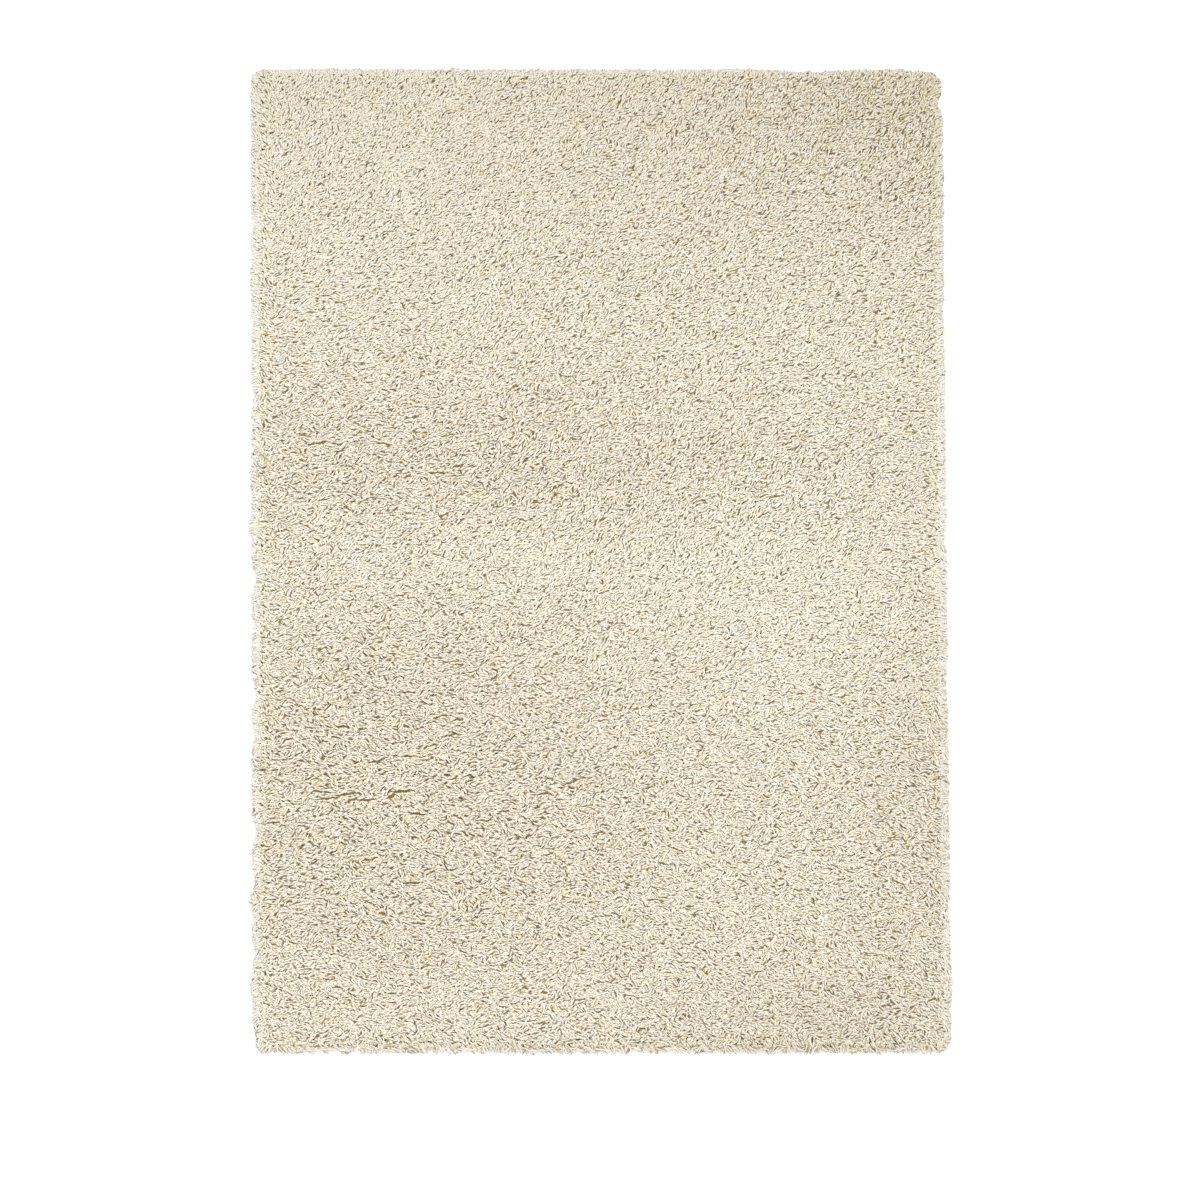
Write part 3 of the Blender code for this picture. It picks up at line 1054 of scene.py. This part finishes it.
class RugColours(bpy.types.PropertyGroup):
    """The colours of the rug's yarns and of the studio floor."""

    tip_warm: colour_property("Warm yarn", "Colour of the warmer strands", (0.892, 0.833, 0.702))
    tip_cool: colour_property("Cool yarn", "Colour of the cooler strands", (0.877, 0.846, 0.773))
    rim_warm: colour_property("Warm rim", "Colour of the rim's warmer strands", (0.825, 0.792, 0.720))
    rim_cool: colour_property("Cool rim", "Colour of the rim's cooler strands", (0.815, 0.799, 0.750))
    strand_change: FloatProperty(
        name="Strand change", description="How far strands differ in brightness", default=0.38, min=0.0
    )
    # The dark tint darkens strands at random and paints shade through low tones; the deep tint paints
    # the shade of deep gaps.
    strand_dark_and_shade: colour_property("Dark strand", "Tint of darker strands", (0.76, 0.728, 0.655))
    strand_deep_shade: colour_property("Deep strand", "Tint of the darkest strands", (0.46, 0.345, 0.14))
    # Painted shade: the yarns' roots deep in the pile are given these darker colours, which also fill
    # their grooves and ply lines.
    root_shade_warm: colour_property("Warm root", "Colour deep in warmer yarn", (0.46, 0.335, 0.135))
    root_shade_cool: colour_property("Cool root", "Colour deep in cooler yarn", (0.40, 0.330, 0.135))
    # How dark the painted shade in the grooves between yarns is.
    groove_shade: FloatProperty(
        name="Groove", description="Darkness of the grooves between yarns", default=0.44, min=0.0
    )
    # Painted shade: the bed and the gaps between tufts are given dark colours for the shade deep in
    # the pile.
    bed: colour_property("Bed", "Colour of the pile's deeper yarn", (0.29, 0.220, 0.105))
    gap: colour_property("Gap", "Colour deep between the tufts", (0.22, 0.158, 0.068))
    backing: colour_property("Backing", "Colour of the woven backing", (0.62, 0.55, 0.43))
    thread: colour_property("Thread", "Colour of the hem's thread", (0.72, 0.66, 0.55))
    floor: colour_property("Floor", "Colour of the studio floor", (0.90, 0.90, 0.90))
    floor_glow: FloatProperty(
        name="Floor glow", description="Light that the floor gives off", default=0.35, min=0.0
    )


class RugStudio(bpy.types.PropertyGroup):
    """The camera and the lights."""

    tilt: FloatProperty(
        name="Camera tilt",
        description="How far the camera looks from straight down",
        default=math.radians(21.3),
        subtype="ANGLE",
    )
    lens: FloatProperty(name="Lens", description="Focal length in millimetres", default=1000.0)
    sensor: FloatProperty(name="Sensor", description="Sensor width in millimetres", default=36.0)
    view_width: length_property("View width", "Width that the picture takes in", 3.118)
    aim_x: FloatProperty(name="Aim across", description="Aim's place across", default=0.0)
    aim_y: FloatProperty(name="Aim along", description="Aim's place along", default=-0.1245)
    floor_size: length_property("Floor size", "Length of the floor's side", 30.0)
    key: FloatProperty(name="Key light", description="Strength of the main light", default=0.46)
    fill: FloatProperty(name="Sky light", description="Strength of the light all round", default=1.425)


# --- Operators --------------------------------------------------------------------------------


def rounded_loop(half_width, half_length, radius):
    """Points of a rectangle with round corners, anticlockwise."""
    points = []
    for turn, (side_x, side_y) in enumerate(((1, 1), (-1, 1), (-1, -1), (1, -1))):
        middle = Vector((side_x * (half_width - radius), side_y * (half_length - radius)))
        for step in range(CORNER_STEPS + 1):
            angle = math.pi / 2 * (turn + step / CORNER_STEPS)
            points.append(middle + Vector((math.cos(angle), math.sin(angle))) * radius)
    return points


def on_backing(x, y, height):
    """A point of the backing's plain rectangle, as the rug leans."""
    lean = BACKING_LEAN * y
    return BACKING_MIDDLE.x + x + lean, BACKING_MIDDLE.y + y, BACKING_LOW.z + height


def skin_rings(made, rings):
    """Faces between rings of points, and one over each end."""
    for lower, upper in zip(rings, rings[1:]):
        for i, point in enumerate(lower):
            after = (i + 1) % len(lower)
            made.faces.new((point, upper[i], upper[after], lower[after]))
    made.faces.new(rings[0])
    made.faces.new(reversed(rings[-1]))


def finished_mesh(name, made):
    """A mesh of what was made, with its faces turned outwards."""
    bmesh.ops.recalc_face_normals(made, faces=made.faces)
    mesh = bpy.data.meshes.new(name)
    made.to_mesh(mesh)
    made.free()
    return mesh


def backing_mesh(hem_width):
    """A closed flat cloth, its hem turned under: a fold outside, and a low step inside the hem."""
    thick = BACKING_HIGH.z - BACKING_LOW.z
    slope, lip, least_corner = 10 * MM, 1 * MM, 2 * MM
    # Each ring's inset and height, from the middle of the underside, round the fold, to the top.
    profile = (
        (hem_width + slope, 0.0),
        (hem_width + lip, 0.40 * thick),
        (hem_width, 0.36 * thick),
        (hem_width, 0.0),
        (0.4 * thick, 0.0),
        (0.1 * thick, 0.2 * thick),
        (0.0, 0.5 * thick),
        (0.1 * thick, 0.8 * thick),
        (0.4 * thick, thick),
        (hem_width, thick),
    )
    made = bmesh.new()
    rings = []
    for inset, height in profile:
        radius = max(BACKING_CORNER - inset, least_corner)
        loop = rounded_loop(BACKING_WIDTH / 2 - inset, BACKING_LENGTH / 2 - inset, radius)
        rings.append([made.verts.new(on_backing(p.x, p.y, height)) for p in loop])
    skin_rings(made, rings)
    return finished_mesh("backing_cloth", made)


# A hem stitch: how far it starts outside the hem's inner edge, how far it reaches inwards, how far
# on it ends as a share of the stitches' distance, and how high its ends lie. Its thread has three
# sides, and lines along it at these turns.
STITCH_START = 0.2 * MM
STITCH_END = 6 * MM
STITCH_SLANT = 0.4
STITCH_ENDS = (0.5 * MM, 0.9 * MM)
THREAD_TURNS = (math.pi / 2, math.pi * 7 / 6, math.pi * 11 / 6)


def stitch_mesh(hem_width, step, thread):
    """Slanting stitches that hold the hem down along its inner edge, on the underside."""
    half_width = BACKING_WIDTH / 2 - hem_width
    half_length = BACKING_LENGTH / 2 - hem_width
    right, far, up = Vector((1, 0, 0)), Vector((0, 1, 0)), Vector((0, 0, 1))
    made = bmesh.new()
    for out, run, half, edge in (
        (right, far, half_length, half_width),
        (far, -right, half_width, half_length),
        (-right, -far, half_length, half_width),
        (-far, right, half_width, half_length),
    ):
        for number in range(int(2 * (half - step) / step)):
            along = -half + step * (number + 1.5)
            start = out * (edge + STITCH_START) + run * along
            end = out * (edge - STITCH_END) + run * (along + STITCH_SLANT * step)
            side = (end - start).normalized().cross(up)
            spine = zip((start, (start + end) / 2, end), (STITCH_ENDS[0], thread, STITCH_ENDS[1]))
            rings = []
            for place, height in spine:
                ring = []
                for turn in THREAD_TURNS:
                    point = place + side * (math.cos(turn) * thread)
                    point_height = height + math.sin(turn) * thread
                    ring.append(made.verts.new(on_backing(point.x, point.y, point_height)))
                rings.append(ring)
            skin_rings(made, rings)
    mesh = finished_mesh("hem_stitches", made)
    mesh.shade_smooth()
    return mesh


class RUG_OT_backing(bpy.types.Operator):
    """Makes the woven backing, with its turned hem and the stitches in it"""

    bl_idname = "rug.make_backing"
    bl_label = "Make backing"

    def execute(self, context):
        sizes, colours = context.scene.rug_sizes, context.scene.rug_colours
        mesh = backing_mesh(sizes.hem_width)
        finish = backing_finish(colours, sizes.cloth_yarn)
        add_piece("backing_cloth", mesh, finish, "backing")
        mesh = stitch_mesh(sizes.hem_width, sizes.stitch_step, sizes.thread)
        add_piece("hem_stitches", mesh, thread_finish(colours), "backing")
        return {"FINISHED"}


def set_point_values(mesh, name, values):
    """A new attribute of a mesh, with a value for each point."""
    attribute = mesh.attributes.new(name, "FLOAT", "POINT")
    attribute.data.foreach_set("value", values.astype(np.float32))


class RUG_OT_bed(bpy.types.Operator):
    """Makes the bed of the pile, painted dark as the shade deep in it, which shows in the gaps between
    the yarns
    """

    bl_idname = "rug.make_bed"
    bl_label = "Make bed"

    def execute(self, context):
        sizes, colours = context.scene.rug_sizes, context.scene.rug_colours
        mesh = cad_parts["pile"].data.copy()
        mesh.name = "pile_bed"
        points = np.array([v.co for v in mesh.vertices])
        middle_x, middle_y = (PILE_LOW.x + PILE_HIGH.x) / 2, (PILE_LOW.y + PILE_HIGH.y) / 2
        points[:, 0] = middle_x + (points[:, 0] - middle_x) * (1 - sizes.bed_inset / HALF_WIDTH)
        points[:, 1] = middle_y + (points[:, 1] - middle_y) * (1 - sizes.bed_inset / HALF_LENGTH)
        squeeze = 1 - sizes.bed_drop / PILE_DEPTH
        points[:, 2] = PILE_LOW.z + (points[:, 2] - PILE_LOW.z) * squeeze
        mesh.vertices.foreach_set("co", points.astype(np.float32).ravel())
        x, y = points[:, 0], points[:, 1]
        set_point_values(mesh, LOOSE_NAME, smooth(looseness(x, y), *GAP_SHADE_CLIMB))
        set_point_values(mesh, LIE_NAME, combed(Outline(), x, y))
        mesh.update()
        mesh.shade_smooth()
        finish = bed_finish(colours, sizes.bed_lock, sizes.bed_yarn)
        add_piece("pile_bed", mesh, finish, "pile")
        return {"FINISHED"}


def pile_layers(sizes):
    """The layers of the pile's top: locks of three yarns below, and single yarns on them."""
    low = Layer(
        step=sizes.low_step,
        short=sizes.short,
        long=sizes.long,
        yarns=3,
        radius=1.1 * sizes.yarn_radius,
        shares=(0.0, 0.5, 1.0),
        girths=(0.0, 1.0, 0.0),
        dips=(1.5 * MM, 0.0, 1.0 * MM),
        depths=(0.8 * sizes.layer_depth, 1.2 * sizes.layer_depth),
        wander=math.radians(18),
        slits=0.2,
        # A little darker than the yarn on top: painted shade deep in the pile.
        tone=0.90,
        patchy=1.1,
        margin=(9 * MM, math.inf),
        reach=(-11 * MM, -6 * MM),
    )
    high = low._replace(
        step=sizes.top_step,
        yarns=1,
        radius=sizes.yarn_radius,
        shares=(0.0, 0.45, 1.0),
        girths=(0.0, 1.15, 0.0),
        dips=(1.8 * MM, 0.0, 0.8 * MM),
        depths=(0.0, sizes.layer_depth),
        slits=0.0,
        tone=0.97,
        patchy=0.2,
    )
    return low, high


def rim_layers(sizes):
    """The rim's layers: yarns that lie out over it, and ones under them that hang down its side."""
    skin = Layer(
        step=sizes.rim_step,
        short=sizes.rim_short,
        long=sizes.rim_long,
        yarns=1,
        radius=sizes.yarn_radius,
        shares=(0.0, 0.24, 0.80, 1.0),
        girths=(0.0, 1.1, 1.0, 0.0),
        dips=(1.0 * MM, 0.0, 0.5 * MM, 2.0 * MM),
        depths=(0.0, 1.5 * MM),
        wander=math.radians(16),
        slits=1.0,
        tone=0.95,
        patchy=0.25,
        margin=(0.0, 19 * MM),
        reach=(-3.0 * MM, 1.5 * MM),
    )
    side = skin._replace(
        dips=(0.0, 0.0, 2.0 * MM, 5.0 * MM),
        depths=(4 * MM, 20 * MM),
        margin=(0.0, 14 * MM),
    )
    return skin, side


def laid_layers(sizes, layers, seed):
    """Each layer with its yarn, laid on the pile's top."""
    rng = np.random.default_rng(seed)
    outline = Outline()
    top = Top(outline)
    tufts = Tufts(outline, sizes.tuft_step, rng)
    return [(layer, lay_yarn(outline, top, tufts, layer, rng)) for layer in layers]


class RUG_OT_yarn(bpy.types.Operator):
    """Makes the loose yarn of the pile's top, in bands across the rug"""

    bl_idname = "rug.make_yarn"
    bl_label = "Make yarn"

    def execute(self, context):
        sizes, colours = context.scene.rug_sizes, context.scene.rug_colours
        tips = colours.tip_warm, colours.tip_cool
        finish = yarn_finish("cream shag yarn", colours, *tips, colours.groove_shade, ROOT_SHADE_STRENGTH)
        bands = [[] for _ in range(sizes.bands)]
        for layer, yarn in laid_layers(sizes, pile_layers(sizes), sizes.seed):
            place = (yarn.paths[:, 0, 1] + HALF_LENGTH) / (2 * HALF_LENGTH)
            number = np.clip((place * sizes.bands).astype(int), 0, sizes.bands - 1)
            for band, bundles in enumerate(bands):
                bundles.append(lock_bundle(Yarn(*(v[number == band] for v in yarn)), layer))
        for band, bundles in enumerate(bands):
            name = f"pile_yarn_{band + 1}"
            add_piece(name, bundle_mesh(name, bundles), finish, "pile")
        return {"FINISHED"}


class RUG_OT_rim(bpy.types.Operator):
    """Makes the yarn that hangs out over the rug's rim"""

    bl_idname = "rug.make_rim"
    bl_label = "Make rim"

    def execute(self, context):
        sizes, colours = context.scene.rug_sizes, context.scene.rug_colours
        # The rim's yarn gets only a share of the painted groove and root shade.
        tips, groove_shade = (colours.rim_warm, colours.rim_cool), RIM_SHADE_SHARE * colours.groove_shade
        finish = yarn_finish("pale rim yarn", colours, *tips, groove_shade, RIM_SHADE_SHARE)
        laid = laid_layers(sizes, rim_layers(sizes), sizes.seed + 1)
        mesh = bundle_mesh("pile_rim", [lock_bundle(yarn, layer) for layer, yarn in laid])
        add_piece("pile_rim", mesh, finish, "pile")
        return {"FINISHED"}


# Where the main light comes from, and how soft it is.
KEY_FROM = (-0.15, 0.2, 1.2)
KEY_SOFTNESS = math.radians(50)


class RUG_OT_stage(bpy.types.Operator):
    """Makes the floor, the lights and the camera"""

    bl_idname = "rug.make_stage"
    bl_label = "Make stage"

    def execute(self, context):
        scene = context.scene
        studio, colours = scene.rug_studio, scene.rug_colours
        bpy.ops.mesh.primitive_plane_add(size=studio.floor_size, location=(0.0, 0.0, 0.0))
        floor = context.object
        floor.name = "floor"
        floor.data.materials.append(floor_finish(colours))

        world = bpy.data.worlds.new("studio")
        world.use_nodes = True
        background = world.node_tree.nodes["Background"]
        background.inputs["Color"].default_value = WHITE
        background.inputs["Strength"].default_value = studio.fill
        scene.world = world

        light = bpy.data.lights.new("key", "SUN")
        light.energy = studio.key
        light.angle = KEY_SOFTNESS
        key = bpy.data.objects.new("key", light)
        scene.collection.objects.link(key)
        key.rotation_euler = Vector(KEY_FROM).to_track_quat("Z", "Y").to_euler()

        camera_data = bpy.data.cameras.new("camera")
        camera_data.lens = studio.lens
        camera_data.sensor_width = studio.sensor
        distance = studio.view_width * studio.lens / studio.sensor
        camera_data.clip_start = distance / 2
        camera_data.clip_end = distance * 2
        camera = bpy.data.objects.new("camera", camera_data)
        scene.collection.objects.link(camera)
        back = Vector((0.0, -math.sin(studio.tilt), math.cos(studio.tilt)))
        aim = Vector((studio.aim_x, studio.aim_y, PILE_LOW.z + PILE_DEPTH / 2))
        camera.location = aim + back * distance
        camera.rotation_euler = back.to_track_quat("Z", "Y").to_euler()
        scene.camera = camera
        scene.view_settings.view_transform = "Standard"
        return {"FINISHED"}


class RUG_PT_panel(bpy.types.Panel):
    """Lists the rug's operators and settings"""

    bl_idname = "RUG_PT_panel"
    bl_label = "Shag Rug"
    bl_space_type = "VIEW_3D"
    bl_region_type = "UI"
    bl_category = "Rug"

    def draw(self, context):
        for maker in MAKERS:
            self.layout.operator(maker.bl_idname)
        for settings in (
            context.scene.rug_sizes,
            context.scene.rug_colours,
            context.scene.rug_studio,
        ):
            box = self.layout.box()
            for name in settings.__annotations__:
                box.prop(settings, name)


MAKERS = (RUG_OT_backing, RUG_OT_bed, RUG_OT_yarn, RUG_OT_rim, RUG_OT_stage)
CLASSES = (RugSizes, RugColours, RugStudio, *MAKERS, RUG_PT_panel)


def register():
    for made in CLASSES:
        bpy.utils.register_class(made)
    bpy.types.Scene.rug_sizes = PointerProperty(type=RugSizes)
    bpy.types.Scene.rug_colours = PointerProperty(type=RugColours)
    bpy.types.Scene.rug_studio = PointerProperty(type=RugStudio)


def unregister():
    del bpy.types.Scene.rug_studio
    del bpy.types.Scene.rug_colours
    del bpy.types.Scene.rug_sizes
    for made in reversed(CLASSES):
        bpy.utils.unregister_class(made)


def main():
    register()
    bpy.ops.rug.make_backing()
    bpy.ops.rug.make_bed()
    bpy.ops.rug.make_yarn()
    bpy.ops.rug.make_rim()
    bpy.ops.rug.make_stage()


if __name__ == "__main__":
    main()
